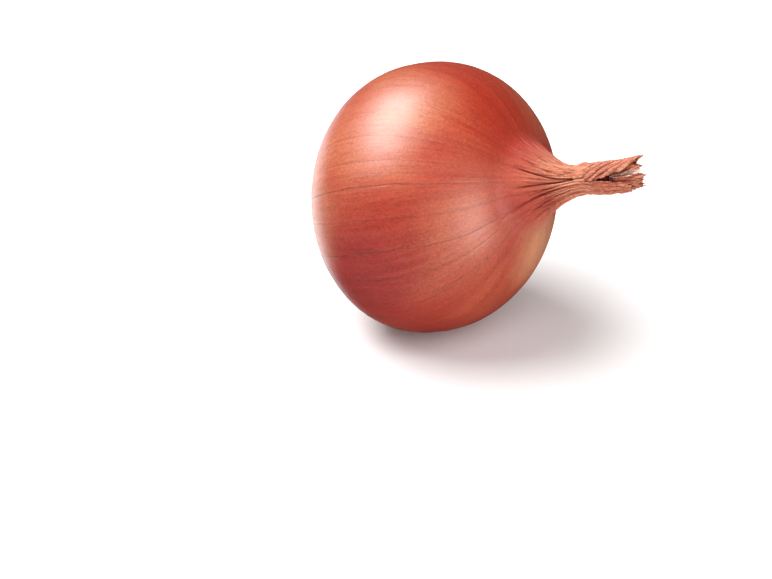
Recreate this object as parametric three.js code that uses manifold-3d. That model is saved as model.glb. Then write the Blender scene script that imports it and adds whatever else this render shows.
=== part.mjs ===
// An onion lying on its side, in millimetres, with +Z up and the middle of its resting spot at the origin.
// It is drawn in its own frame first: z runs from the root end to the neck, and the angle round it is
// counted from the meridian that lies uppermost. The group then lays it down on a small flat spot.
import * as THREE from "three";
import { mergeVertices } from "three/addons/utils/BufferGeometryUtils.js";
import Module from "manifold-3d";

// How the onion lies: the neck points along +X and rises, and the bulb's middle is above the resting spot.
const neckRise = 18; // degrees above the horizontal
const bulbCentre = [-0.8, 1.3, 37.1];
const restingTrim = 20; // height of the block that cuts the flat spot

// The bulb, from its widest ring at z = 0.
const bulbRadius = 37.5;
const neckHalf = 32.7;
const rootHalf = 31;
const neckPower = 2.01;
const rootPower = 2.18;
const lean = 0.062; // how far the centre line drifts for each millimetre along it
const leanAngle = -25;
const lobes = [
  { count: 2, size: 0.3, angle: 92 },
  { count: 3, size: 0.2, angle: 144 },
];

// The dried neck, which the skin gathers into. A pair of heights is where a change begins and ends.
const neckJoin = 29.5; // where the shoulder turns into the neck's flared foot
const waistRadius = 3.85;
const footRadius = 7.95; // what the flared foot adds to the waist at the join
const footLength = 10.5;
const slopeStep = 0.01; // over which the shoulder's slope at the join is measured
const mouthFlare = 0.2; // how much the neck widens again at its torn end
const mouthFlareHeights = [51, 59];
const pleatStart = 27; // where the rows close up for the pleats
const neckEnd = 58;
const neckEndRound = 1.2;
const neckSteps = [1.0, 1.5]; // how far its foot and its end step back from the leaning centre line
const footStepHeights = [30, 44];
const endStepHeights = [48, 58];
const neckTwist = -60; // degrees by which the torn leaves are wrung at the end
const twistEnd = 66;

// The furrows between the pleats: their angles on the shoulder and at the waist, how deep they get and where
// they start. The front ones run together towards the middle of the neck's face.
const furrowWidth = 5; // degrees
const furrowRun = 9; // millimetres from a furrow's start to its full depth
const furrowsDeepest = 40;
const furrowThinning = 0.35; // the share of the depth that is lost towards the waist
const furrows = [
  { angle: 22, waistAngle: 40, depth: 0.75, start: 31 },
  { angle: 40, waistAngle: 55, depth: 1.2, start: 30 },
  { angle: 72, waistAngle: 62, depth: 1.1, start: 30.5 },
  { angle: 103, waistAngle: 82, depth: 0.95, start: 28.5 },
  { angle: 122, waistAngle: 102, depth: 0.8, start: 31 },
  { angle: 142, waistAngle: 124, depth: 0.8, start: 30 },
  { angle: 162, waistAngle: 147, depth: 0.8, start: 29 },
  { angle: 182, waistAngle: 172, depth: 0.65, start: 30 },
  { angle: 203, waistAngle: 197, depth: 0.9, start: 29 },
  { angle: 226, waistAngle: 222, depth: 0.7, start: 30.5 },
  { angle: 248, waistAngle: 248, depth: 0.8, start: 29 },
  { angle: 270, waistAngle: 273, depth: 0.9, start: 30 },
  { angle: 292, waistAngle: 299, depth: 0.65, start: 29.5 },
  { angle: 315, waistAngle: 324, depth: 0.8, start: 29 },
  { angle: 338, waistAngle: 350, depth: 0.7, start: 30.5 },
  { angle: 0, waistAngle: 16, depth: 0.85, start: 32 },
];

// The torn outer leaves that wrap the end of the neck. Angles are in degrees, and clear is how far the
// leaf's face stands out from the line of the neck, and flare how far its end bends out again. The neck
// itself shrinks by coreSink inside the leaves.
const leafThickness = 0.65;
const leafFoot = 49.5;
const leafRise = 3; // millimetres over which a leaf lifts off the neck
const leafBury = 0.5; // how deep its foot sits in the neck
const leafFlareHeights = [61, 69];
const leafTaper = 0.12; // the share of its width that a leaf loses towards its end
const tearDepth = 0.5;
const tearWaves = 7;
const coreSink = 1.5;
const leafPleats = 8;
const leafPleatHeight = 0.2;
const outerLeaves = [
  { angle: -30, halfWidth: 98, clear: 0.5, flare: 0.9, to: 61, reach: 8, point: 25, pointWidth: 45 },
  { angle: 158, halfWidth: 88, clear: 0.3, flare: 0, to: 62.5, reach: 3.2, point: -35, pointWidth: 34 },
  { angle: 244, halfWidth: 48, clear: 0.4, flare: 0.2, to: 61.5, reach: 2.8, point: -19, pointWidth: 20 },
];

// The paler tips of the inner leaves, which stand in the neck's mouth on a short stump.
const mouthGap = 0.3;
const stumpRadius = 1.9;
const stumpLength = 3.4;
const stumpTaper = 0.8;
const innerThickness = 0.6;
const innerFootRadius = 1.4;
const innerRise = 3;
const innerSpread = 0.55; // how much the tips open beyond the outer leaves
const innerSpreadHeights = [63.5, 68];
const innerLeaves = [
  { angle: 38, halfWidth: 40, radius: 2.7, to: 66, reach: 4, point: 0, pointWidth: 18 },
  { angle: 92, halfWidth: 44, radius: 2.5, to: 67, reach: 3.4, point: -12, pointWidth: 18 },
  { angle: 150, halfWidth: 48, radius: 2.7, to: 65.4, reach: 3.8, point: -22, pointWidth: 18 },
  { angle: 228, halfWidth: 60, radius: 2.5, to: 64.4, reach: 2.6, point: 15, pointWidth: 23 },
  { angle: 312, halfWidth: 60, radius: 2.7, to: 64.4, reach: 2.2, point: -15, pointWidth: 23 },
];

// The root end: a corky plate in a shallow socket, with short dried roots on it.
const plateRadius = 6.4;
const plateGap = 0.3;
const plateBulge = 1.1;
const plateCrown = 4; // radius of the plate's flatter middle
const plateDepth = 2.2; // how deep the plate sits under the bulb's root end
const rootCount = 42;
const rootRadius = 0.42;
const rootLengths = [3.6, 7];
const rootSides = 5;
const rootSteps = 4;
const rootBends = [0.35, 0.85]; // how far the outermost roots bend out, as a share of their length
const rootSway = 0.25;
const rootDroop = 0.18; // how much a bent root falls short of its length

const columns = 96;
const bulbRows = 17;
const neckRows = 21;

const wasm = await Module();
wasm.setup();

const radians = THREE.MathUtils.degToRad;

// A seeded draw between 0 and 1, the same on every run.
function seededDraw(seed) {
  let state = seed;
  return () => {
    state = (state * 1664525 + 1013904223) % 4294967296;
    return state / 4294967296;
  };
}

// The difference between two angles in degrees, between -180 and 180.
function turn(from, to) {
  return ((((to - from + 180) % 360) + 360) % 360) - 180;
}

function bulbOutline(z) {
  const half = z > 0 ? neckHalf : rootHalf;
  const power = z > 0 ? neckPower : rootPower;
  const share = Math.min(1, Math.abs(z) / half);
  return bulbRadius * Math.pow(1 - Math.pow(share, power), 1 / power);
}

// The neck leaves the shoulder in line with it: a fillet takes up the difference in radius and in slope.
function neckOutline(z) {
  const up = z - neckJoin;
  const fillet = bulbOutline(neckJoin) - waistRadius - footRadius;
  const slope = (bulbOutline(neckJoin - slopeStep) - bulbOutline(neckJoin)) / slopeStep;
  const foot = footRadius * Math.exp(-Math.pow(up / footLength, 2));
  const opening = mouthFlare * THREE.MathUtils.smoothstep(z, ...mouthFlareHeights);
  return waistRadius + fillet * Math.exp((-up * slope) / fillet) + foot + opening;
}

// The onion's radius at a height, before its furrows.
function radiusAt(z) {
  return z < neckJoin ? bulbOutline(z) : neckOutline(z);
}

// How far the furrows pull the skin in at a height and an angle. They end where the torn leaves begin.
function furrowDepth(z, angle) {
  const left = 1 - THREE.MathUtils.smoothstep(z, leafFoot - 1, leafFoot + leafRise);
  const thin = 1 - furrowThinning * THREE.MathUtils.smoothstep(z, furrowsDeepest, leafFoot);
  return left * thin * furrows.reduce((sum, furrow) => {
    const grown = THREE.MathUtils.smoothstep(z, furrow.start, furrow.start + furrowRun);
    const gathered = THREE.MathUtils.smoothstep(z, furrow.start, leafFoot);
    const at = furrow.angle + turn(furrow.angle, furrow.waistAngle) * gathered;
    const away = turn(at, angle) / furrowWidth;
    return sum + furrow.depth * grown * Math.exp(-away * away);
  }, 0);
}

// The broader pleats of the torn leaves, wrung round the neck.
function leafPleat(z, angle) {
  const wrung = angle - neckTwist * THREE.MathUtils.smoothstep(z, leafFoot, twistEnd);
  return leafPleatHeight * (Math.cos(radians(leafPleats * wrung)) - 1);
}

// The bulb isn't quite round: a few broad lobes, fading out at both ends.
function lobeHeight(z, angle) {
  const fade = Math.pow(bulbOutline(z) / bulbRadius, 2);
  return fade * lobes.reduce((sum, lobe) => {
    return sum + lobe.size * Math.cos(radians(lobe.count * (angle - lobe.angle)));
  }, 0);
}

function centreLine(z) {
  const footStep = neckSteps[0] * THREE.MathUtils.smoothstep(z, ...footStepHeights);
  const endStep = (neckSteps[1] - neckSteps[0]) * THREE.MathUtils.smoothstep(z, ...endStepHeights);
  const drift = lean * z - footStep - endStep;
  return new THREE.Vector2(drift, 0).rotateAround(new THREE.Vector2(), radians(leanAngle));
}

// The point at a height, an angle and a distance from the centre line.
function pointAt(z, angle, radius) {
  const centre = centreLine(z);
  return new THREE.Vector3(
    centre.x + radius * Math.cos(radians(angle)),
    centre.y + radius * Math.sin(radians(angle)),
    z,
  );
}

function solidFrom(geometry) {
  const bare = geometry.clone();
  bare.deleteAttribute("normal");
  bare.deleteAttribute("uv");
  const merged = mergeVertices(bare, 1e-4);
  return new wasm.Manifold(
    new wasm.Mesh({
      numProp: 3,
      vertProperties: new Float32Array(merged.attributes.position.array),
      triVerts: new Uint32Array(merged.index.array),
    }),
  );
}

function geometryFrom(solid) {
  const mesh = solid.getMesh();
  const geometry = new THREE.BufferGeometry();
  geometry.setAttribute("position", new THREE.BufferAttribute(mesh.vertProperties, 3));
  geometry.setIndex(new THREE.BufferAttribute(mesh.triVerts, 1));
  const faceted = geometry.toNonIndexed();
  faceted.computeVertexNormals();
  return faceted;
}

// A lathed outline, given as [radius, height] from the root end to the neck, standing on z.
function lathe(outline, segments) {
  const points = outline.map(([radius, height]) => new THREE.Vector2(radius, height));
  return new THREE.LatheGeometry(points, segments).rotateX(Math.PI / 2);
}

// A curved leaf: a sheet of the given thickness over u from its foot to its tip and v across it.
function leafGeometry(rows, cols, thickness, place) {
  const positions = [];
  const index = [];
  const width = cols + 1;
  const sheet = (rows + 1) * width;
  for (const inner of [0, 1]) {
    for (let i = 0; i <= rows; i += 1) {
      for (let j = 0; j <= cols; j += 1) {
        positions.push(...place(i / rows, (2 * j) / cols - 1, inner * thickness).toArray());
      }
    }
  }
  const quad = (a, b, c, d) => index.push(a, b, c, a, c, d);
  for (let i = 0; i < rows; i += 1) {
    for (let j = 0; j < cols; j += 1) {
      const a = i * width + j;
      const back = sheet + a;
      quad(a, a + 1, a + width + 1, a + width);
      index.push(back, back + width + 1, back + 1, back, back + width, back + width + 1);
    }
  }
  for (let j = 0; j < cols; j += 1) {
    const foot = j;
    const tip = rows * width + j;
    quad(foot, foot + sheet, foot + sheet + 1, foot + 1);
    quad(tip, tip + 1, tip + sheet + 1, tip + sheet);
  }
  for (let i = 0; i < rows; i += 1) {
    const left = i * width;
    const right = left + cols;
    quad(left, left + width, left + width + sheet, left + sheet);
    quad(right, right + sheet, right + width + sheet, right + width);
  }
  const geometry = new THREE.BufferGeometry();
  geometry.setAttribute("position", new THREE.Float32BufferAttribute(positions, 3));
  geometry.setIndex(index);
  return geometry;
}

// A torn leaf: it follows the neck up and ends in a ragged edge with one long point.
function leafSolid(leaf, { foot, rows, cols, thickness, seed }, radiusOf) {
  const draw = seededDraw(seed);
  const tears = Array.from({ length: cols + 1 }, () => draw());
  return solidFrom(
    leafGeometry(rows, cols, thickness, (u, v, inwards) => {
      const across = v * leaf.halfWidth;
      const toPoint = (across - leaf.point) / leaf.pointWidth;
      const nick = tears[Math.round(((v + 1) / 2) * cols)];
      const tear = tearDepth * (nick + Math.sin(tearWaves * v + 2 * seed));
      const end = leaf.to - tear + leaf.reach * Math.exp(-toPoint * toPoint);
      const z = THREE.MathUtils.lerp(foot, end, u);
      const angle = leaf.angle + across * (1 - leafTaper * u);
      return pointAt(z, angle, radiusOf(z, angle) - inwards);
    }),
  );
}

// The bulb and its neck are one grown body: a lathed outline pulled into lobes and furrows.
function bulbSolid() {
  const socket = plateRadius + plateGap;
  const socketFloor = -(rootHalf - plateDepth);
  const lowest = -Math.asin(Math.sqrt(1 - Math.pow(socket / bulbRadius, 2)));
  const highest = Math.asin(pleatStart / neckHalf);
  const outline = [[0, socketFloor], [socket, socketFloor]];
  for (let i = 0; i <= bulbRows; i += 1) {
    const z = Math.sin(THREE.MathUtils.lerp(lowest, highest, i / bulbRows));
    const height = z * (z > 0 ? neckHalf : rootHalf);
    outline.push([radiusAt(height), height]);
  }
  for (let i = 1; i <= neckRows; i += 1) {
    const height = THREE.MathUtils.lerp(pleatStart, neckEnd - neckEndRound, i / neckRows);
    const sunk = coreSink * THREE.MathUtils.smoothstep(height, leafFoot, leafFoot + leafRise);
    outline.push([radiusAt(height) - sunk, height]);
  }
  outline.push([waistRadius - coreSink - neckEndRound / 2, neckEnd], [0, neckEnd]);
  const geometry = lathe(outline, columns);
  const position = geometry.attributes.position;
  const vertex = new THREE.Vector3();
  for (let i = 0; i < position.count; i += 1) {
    vertex.fromBufferAttribute(position, i);
    const radius = Math.hypot(vertex.x, vertex.y);
    const angle = THREE.MathUtils.radToDeg(Math.atan2(vertex.y, vertex.x));
    const onSkin = radius > waistRadius - coreSink - neckEndRound / 2;
    const pulled = onSkin ? radius + lobeHeight(vertex.z, angle) - furrowDepth(vertex.z, angle) : radius;
    position.setXYZ(i, ...pointAt(vertex.z, angle, pulled).toArray());
  }
  return solidFrom(geometry);
}

// A block under the floor, in the onion's own frame, that cuts the flat resting spot.
function floorBlock(lay) {
  const block = new THREE.BoxGeometry(200, 200, restingTrim);
  block.translate(0, 0, -restingTrim / 2);
  return solidFrom(block.applyMatrix4(lay.clone().invert()));
}

function makeBulb(lay) {
  let solid = bulbSolid();
  outerLeaves.forEach((leaf, i) => {
    const leafRadius = (z, angle) => {
      const lift = THREE.MathUtils.smoothstep(z, leafFoot, leafFoot + leafRise);
      const flared = leaf.flare * THREE.MathUtils.smoothstep(z, ...leafFlareHeights);
      return radiusAt(z) + THREE.MathUtils.lerp(-leafBury, leaf.clear + leafPleat(z, angle), lift) + flared;
    };
    const sheet = { foot: leafFoot - 1, rows: 9, cols: 22, thickness: leafThickness, seed: i + 3 };
    solid = solid.add(leafSolid(leaf, sheet, leafRadius));
  });
  const skin = new THREE.MeshStandardMaterial({ color: 0xc4553a, roughness: 0.38, metalness: 0 });
  const mesh = new THREE.Mesh(geometryFrom(solid.subtract(floorBlock(lay))), skin);
  mesh.name = "bulb";
  return mesh;
}

// The inner leaf tips share a short stump, a hair's breadth clear of the neck's end.
function makeInnerLeaves() {
  const foot = neckEnd + mouthGap;
  const stump = lathe(
    [[0, foot], [stumpRadius, foot], [stumpRadius * stumpTaper, foot + stumpLength], [0, foot + stumpLength]],
    16,
  );
  const position = stump.attributes.position;
  for (let i = 0; i < position.count; i += 1) {
    const centre = centreLine(position.getZ(i));
    position.setXY(i, position.getX(i) + centre.x, position.getY(i) + centre.y);
  }
  let solid = solidFrom(stump);
  innerLeaves.forEach((leaf, i) => {
    const leafRadius = (z) => {
      const risen = THREE.MathUtils.smoothstep(z, foot, foot + innerRise);
      const opened = innerSpread * THREE.MathUtils.smoothstep(z, ...innerSpreadHeights);
      return THREE.MathUtils.lerp(innerFootRadius, leaf.radius, risen) + opened;
    };
    const sheet = { foot: foot + mouthGap, rows: 6, cols: 7, thickness: innerThickness, seed: i + 21 };
    solid = solid.add(leafSolid(leaf, sheet, leafRadius));
  });
  const paper = new THREE.MeshStandardMaterial({ color: 0xcfa58c, roughness: 0.8, metalness: 0 });
  const mesh = new THREE.Mesh(geometryFrom(solid), paper);
  mesh.name = "inner_leaf_tips";
  return mesh;
}

// One dried root: a thin cone that leaves the plate outwards and bends over towards its tip.
function rootSolid(radius, angle, length, bend, side) {
  const cone = new THREE.ConeGeometry(rootRadius, length, rootSides, rootSteps);
  cone.rotateX(-Math.PI / 2).translate(0, 0, -length / 2);
  const position = cone.attributes.position;
  for (let i = 0; i < position.count; i += 1) {
    const down = -position.getZ(i) / length;
    const outwards = position.getX(i) + bend * down * down * length;
    const sideways = position.getY(i) + side * down * down * length;
    position.setXYZ(i, outwards, sideways, position.getZ(i) * (1 - rootDroop * bend * down));
  }
  cone.rotateZ(radians(angle));
  const foot = pointAt(-rootHalf + plateGap, angle, radius);
  return solidFrom(cone.translate(foot.x, foot.y, foot.z));
}

function makeRootTuft() {
  const top = -(rootHalf - plateDepth) - plateGap;
  const low = -rootHalf - plateBulge;
  const rim = -rootHalf + plateGap;
  const plate = lathe([[0, low], [plateCrown, low + 0.2], [plateRadius, rim], [plateRadius, top], [0, top]], 28);
  const shift = centreLine(-rootHalf);
  let solid = solidFrom(plate.translate(shift.x, shift.y, 0));
  const draw = seededDraw(7);
  const goldenAngle = 137.508;
  for (let i = 0; i < rootCount; i += 1) {
    const out = Math.sqrt((i + 0.5) / rootCount);
    const length = THREE.MathUtils.lerp(rootLengths[0], rootLengths[1], draw());
    const bend = out * THREE.MathUtils.lerp(...rootBends, draw());
    const side = rootSway * (2 * draw() - 1);
    solid = solid.add(rootSolid(out * (plateRadius - 1), i * goldenAngle, length, bend, side));
  }
  const straw = new THREE.MeshStandardMaterial({ color: 0xa88a63, roughness: 0.9, metalness: 0 });
  const mesh = new THREE.Mesh(geometryFrom(solid), straw);
  mesh.name = "root_tuft";
  return mesh;
}

function makeOnion() {
  const rise = radians(neckRise);
  const uppermost = new THREE.Vector3(-Math.sin(rise), 0, Math.cos(rise));
  const along = new THREE.Vector3(Math.cos(rise), 0, Math.sin(rise));
  const sideways = new THREE.Vector3(0, -1, 0);
  const lay = new THREE.Matrix4().makeBasis(uppermost, sideways, along).setPosition(...bulbCentre);
  const onion = new THREE.Group();
  onion.add(makeBulb(lay), makeInnerLeaves(), makeRootTuft());
  onion.applyMatrix4(lay);
  return onion;
}

export default makeOnion();
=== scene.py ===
import bmesh
import bpy
import math
import numpy as np
from mathutils import Matrix, Vector, noise


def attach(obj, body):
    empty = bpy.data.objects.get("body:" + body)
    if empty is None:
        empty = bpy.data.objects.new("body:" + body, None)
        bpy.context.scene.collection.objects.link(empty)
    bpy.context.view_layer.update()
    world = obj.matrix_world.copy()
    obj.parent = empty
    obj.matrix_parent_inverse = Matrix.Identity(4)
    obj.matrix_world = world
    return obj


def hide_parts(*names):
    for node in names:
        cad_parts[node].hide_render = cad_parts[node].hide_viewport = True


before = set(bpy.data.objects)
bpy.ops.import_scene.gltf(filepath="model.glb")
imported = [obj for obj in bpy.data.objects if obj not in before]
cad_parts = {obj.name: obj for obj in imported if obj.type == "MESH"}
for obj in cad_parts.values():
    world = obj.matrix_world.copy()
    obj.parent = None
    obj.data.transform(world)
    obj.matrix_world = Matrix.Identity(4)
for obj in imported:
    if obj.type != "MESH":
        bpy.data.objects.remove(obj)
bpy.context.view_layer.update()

print("frame loaded: an onion on its resting spot")

# The onion is drawn in millimetres in its own frame: z runs from the root end to the neck, and the angle
# round it is counted from the meridian that lies uppermost. layDown then lays it where the CAD bulb is.
mm = 0.001
lie = {"neckRise": 18, "bulbCentre": (-0.8, 1.3, 37.1)}
rise = math.radians(lie["neckRise"])
uppermost = Vector((-math.sin(rise), 0, math.cos(rise)))
sideways = Vector((0, -1, 0))
along = Vector((math.cos(rise), 0, math.sin(rise)))
laid = Matrix((uppermost, sideways, along)).transposed().to_4x4()
layDown = Matrix.Translation(Vector(lie["bulbCentre"]) * mm) @ laid @ Matrix.Scale(mm, 4)

# A grain is (seed, size across, size along the meridians).
bulb = {
    "radius": 37.5, "neckHalf": 32.7, "rootHalf": 31,
    "neckPower": 2.01, "rootPower": 2.18,  # how full the outline is towards either end
    "lean": 0.062, "leanAngle": -25,  # the axis leans aside
    "lobes": [(2, 0.3, 92), (3, 0.2, 144)],  # count, height, angle
    "socket": 6.7, "socketDepth": 2.2,
    "swell": 0.16, "swellReach": 26, "swellGrain": (3, 9, 34),  # unevenness of the skin between its veins
    "dent": 0.35, "dentReach": 1.6, "dentGrain": (33, 14, 8),  # round the root socket
    "steps": 512, "rows": 64,
}
neck = {
    "join": 29.5, "waist": 3.85, "foot": 7.95, "footLength": 10.5,
    "mouth": 0.2, "mouthHeights": (51, 59),
    "footAside": 1.0, "footHeights": (30, 44), "endAside": 0.5, "endHeights": (48, 58),
    "leafFoot": 49.5, "sink": 1.5, "sinkRun": 3,  # the skin dives under the leaves
    # The first two values on the next line paint shade into the neck's mouth, where the skin sinks under the
    # leaves: its strength and the heights where it comes in.
    "mouthShade": 2, "mouthShadeHeights": (50.5, 53), "furrowEnd": (53, 57),
    "rowsFrom": 25, "rows": 112, "end": 57.4, "capRadius": 1.2, "smoothWithin": 1.4, "thinnest": 0.4,
}


def smooth(z, low, high):
    t = np.clip((z - low) / (high - low), 0, 1)
    return t * t * (3 - 2 * t)


def bell(x):
    return np.exp(-x * x)


def turn(start, end):
    return (end - start + 180) % 360 - 180


def bulbOutline(z):
    half = np.where(z > 0, bulb["neckHalf"], bulb["rootHalf"])
    power = np.where(z > 0, bulb["neckPower"], bulb["rootPower"])
    return bulb["radius"] * (1 - np.minimum(1, np.abs(z) / half) ** power) ** (1 / power)


def skinRadius(z):
    # The neck leaves the shoulder in line with it: a fillet takes up the difference in radius and in slope.
    tiny = 0.01
    join = bulbOutline(neck["join"])
    slope = (bulbOutline(neck["join"] - tiny) - join) / tiny
    fillet = join - neck["waist"] - neck["foot"]
    up = np.maximum(0, z - neck["join"])
    foot = neck["foot"] * bell(up / neck["footLength"])
    mouth = neck["mouth"] * smooth(z, *neck["mouthHeights"])
    narrow = neck["waist"] + fillet * np.exp(-up * slope / fillet) + foot + mouth
    return np.where(z < neck["join"], bulbOutline(z), narrow)


def centreLine(z):
    drift = bulb["lean"] * z - neck["footAside"] * smooth(z, *neck["footHeights"])
    drift = drift - neck["endAside"] * smooth(z, *neck["endHeights"])
    lean = math.radians(bulb["leanAngle"])
    return drift * math.cos(lean), drift * math.sin(lean)


def roundness(z, angle):
    fade = (bulbOutline(z) / bulb["radius"]) ** 2
    return fade * sum(high * np.cos(np.radians(count * (angle - at))) for count, high, at in bulb["lobes"])


# The main furrows of the neck: (angle at the shoulder, angle at the waist, depth, width in degrees, start).
# The front ones run together towards the middle of the neck's face, and the last rows lie between the others.
furrows = [
    (22, 40, 0.75, 3.2, 31), (40, 55, 1.3, 3.6, 30), (72, 62, 1.2, 3.6, 30.5),
    (103, 82, 0.95, 3.4, 28.5), (122, 102, 0.8, 3.2, 31), (142, 124, 0.8, 3.2, 30),
    (162, 147, 0.8, 3.2, 29), (182, 172, 0.65, 3.2, 30), (203, 197, 0.9, 3.6, 29),
    (226, 222, 0.7, 3.2, 30.5), (248, 248, 0.8, 3.4, 29), (270, 273, 0.9, 3.6, 30),
    (292, 299, 0.65, 3.2, 29.5), (315, 324, 0.8, 3.4, 29), (338, 350, 0.7, 3.2, 30.5),
    (0, 16, 0.85, 3.2, 32),
    (10, 29, 0.4, 2.4, 34), (31, 48, 0.45, 2.4, 35), (56, 58, 0.5, 2.4, 33), (88, 70, 0.6, 2.6, 33.5),
    (112, 92, 0.5, 2.6, 33), (133, 113, 0.5, 2.6, 32), (152, 136, 0.45, 2.6, 31),
]
pleats = {
    "run": 6, "waistHeight": 49.5, "width": 0.58, "sharpness": 1.3,
    "widening": 1.1, "wideningHeights": (38, 50),
    "waistFade": 0.35, "fadeHeights": (41, 50),
    # The fine pleats between the furrows. They bend by so many degrees in 10 mm.
    "fineCount": 150, "fineDepth": (0.1, 0.45), "fineWidth": (0.8, 1.7), "fineStart": (29, 45),
    "fineLength": (5, 14), "fineBend": 9, "fineRun": 3, "fineSharpness": 1.4,
    "fineHeights": (40, 50), "seed": 11,
    # The papery unevenness towards the waist
    "crinkle": 0.2, "crinkleHeights": (33, 46), "crinkleGrain": (8, 3.2, 2.6),
    "fineCrinkle": 0.6, "fineGrain": (21, 6, 1.1),
}

# The veins of the skin: (angle at the widest ring, its turn and its bend towards the neck, strength).
# The front ones follow the photograph, and the others carry on round the far side.
veins = [
    (38.2, 2, 0, 0.55), (49.6, 1, 0, 0.35), (60.7, 0.3, 1.2, 1.0), (74.9, 2.2, 3, 0.6), (88.9, 1, 9, 0.8),
    (102, 3, 4, 0.45), (114, 4, 4, 0.4), (127, 4, 3, 0.4), (140, 5, 3, 0.35), (24, -1, 0, 0.3),
    (9, -2, -2, 0.35),
]
veinSpread = {
    "from": 152, "to": 356, "step": 12.6, "jitter": 3.2, "turn": 4, "bend": 3, "strength": (0.25, 0.8),
    "seed": 5,
}
veinCrease = {
    # The last value on the next line is how much of the creases' depth goes into the painted shade of the
    # furrows.
    "length": 30, "depth": 0.015, "strongDepth": 0.035, "width": 0.9, "fadeHeights": (22, 31), "mark": 0.8,
}


def spreadVeins():
    chance = np.random.default_rng(veinSpread["seed"])
    for at in np.arange(veinSpread["from"], veinSpread["to"], veinSpread["step"]):
        moved = at + chance.uniform(-1, 1) * veinSpread["jitter"]
        turning = chance.uniform(-veinSpread["turn"], veinSpread["turn"])
        bend = chance.uniform(-veinSpread["bend"], veinSpread["bend"])
        veins.append((turn(0, moved), turning, bend, chance.uniform(*veinSpread["strength"])))


def veinAngle(vein, z):
    t = z / veinCrease["length"]
    return vein[0] + vein[1] * t + vein[2] * t * t


def furrowDepth(z, angle):
    depth = np.zeros_like(z)
    for shoulderAngle, waistAngle, deep, wide, start in furrows:
        at = shoulderAngle + turn(shoulderAngle, waistAngle) * smooth(z, start, pleats["waistHeight"])
        widening = 1 + pleats["widening"] * smooth(z, *pleats["wideningHeights"])
        away = np.abs(turn(at, angle)) / (pleats["width"] * wide * widening)
        depth += deep * smooth(z, start, start + pleats["run"]) * np.exp(-away ** pleats["sharpness"])
    chance = np.random.default_rng(pleats["seed"])
    for _ in range(pleats["fineCount"]):
        at = chance.uniform(0, 360)
        deep = chance.uniform(*pleats["fineDepth"])
        wide = chance.uniform(*pleats["fineWidth"])
        start = chance.uniform(*pleats["fineStart"])
        end = start + chance.uniform(*pleats["fineLength"])
        bend = chance.uniform(-pleats["fineBend"], pleats["fineBend"])
        widening = 1 + smooth(z, *pleats["fineHeights"])
        away = np.abs(turn(at + bend * (z - start) / 10, angle)) / (wide * widening)
        rising = smooth(z, start, start + pleats["fineRun"])
        falling = 1 - smooth(z, end - pleats["fineRun"], end)
        depth += deep * rising * falling * np.exp(-away ** pleats["fineSharpness"])
    return depth * (1 - pleats["waistFade"] * smooth(z, *pleats["fadeHeights"]))


# A small knot of dried skin stands on the waist's upper edge.
knob = {"angle": -38, "z": 49.4, "height": 1.0, "length": 1.5, "wide": 22}


def knobHeight(z, angle):
    across = turn(knob["angle"], angle) / knob["wide"]
    return knob["height"] * bell((z - knob["z"]) / knob["length"]) * bell(across)


def grainNoise(z, angle, seed, across, lengthwise):
    # Noise that is stretched along the meridians: across and lengthwise are its sizes in millimetres.
    a = np.radians(angle)
    wide = bulb["radius"] / across
    spots = np.stack([np.cos(a) * wide + seed, np.sin(a) * wide, z / lengthwise], axis=1)
    return np.array([noise.noise(Vector(spot)) for spot in spots.tolist()])


def wrapRound(radius, angle, z):
    # The places about the centre line, and the same places with the line's own drift.
    a = np.radians(angle)
    places = np.stack([radius * np.cos(a), radius * np.sin(a), z], axis=1)
    dx, dy = centreLine(z)
    return places, places + np.stack([dx, dy, np.zeros_like(z)], axis=1)


def layPoints(shape, points):
    for vertex, point in zip(shape.verts, points.tolist()):
        vertex.co = layDown @ Vector(point)
        vertex.co.z = max(vertex.co.z, 0)


def flatGrid(shape, xSteps, ySteps):
    # A grid from -1 to 1 each way, and the places of its points.
    bmesh.ops.create_grid(shape, x_segments=xSteps, y_segments=ySteps, size=1)
    return np.array([v.co[:] for v in shape.verts])


def finishPiece(name, shape, material, nodes):
    mesh = bpy.data.meshes.new(name)
    shape.to_mesh(mesh)
    shape.free()
    mesh.shade_smooth()
    mesh.materials.append(material)
    piece = bpy.data.objects.new(name, mesh)
    bpy.context.collection.objects.link(piece)
    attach(piece, "root")
    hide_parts(*nodes)
    return piece


def markPlaces(mesh, places, furrow):
    # Each point keeps its place about the centre line in millimetres, and how much painted shade the
    # materials lay on it, mostly from how deep in a furrow or fold it lies.
    place = mesh.attributes.new("place", "FLOAT_VECTOR", "POINT")
    place.data.foreach_set("vector", places.astype(np.float32).ravel())
    deep = mesh.attributes.new("furrow", "FLOAT", "POINT")
    deep.data.foreach_set("value", furrow.astype(np.float32))


def giveWall(piece, thick):
    wall = piece.modifiers.new("wall", "SOLIDIFY")
    wall.thickness = thick * mm
    wall.offset = -1


def bulbRings(low):
    # The outline as (radius, height), from the middle of the root socket to the middle of the neck's end.
    first = math.asin(low / bulb["rootHalf"])
    last = math.asin(neck["rowsFrom"] / bulb["neckHalf"])
    heights = []
    for i in range(bulb["rows"] + 1):
        share = math.sin(first + (last - first) * i / bulb["rows"])
        heights.append(share * (bulb["neckHalf"] if share > 0 else bulb["rootHalf"]))
    for i in range(1, neck["rows"] + 1):
        heights.append(neck["rowsFrom"] + (neck["end"] - neck["rowsFrom"]) * i / neck["rows"])
    socket = bulb["socket"]
    socketFloor = -bulb["rootHalf"] + bulb["socketDepth"]
    rings = [(0, socketFloor), (socket * 0.5, socketFloor), (socket, socketFloor), (socket, low - 0.1)]
    for z in heights:
        sunk = neck["sink"] * smooth(z, neck["leafFoot"], neck["leafFoot"] + neck["sinkRun"])
        rings.append((float(skinRadius(np.array(z))) - sunk, z))
    rings += [(neck["capRadius"], neck["end"] + 0.1), (0, neck["end"] + 0.1)]
    return np.array(rings)


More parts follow.
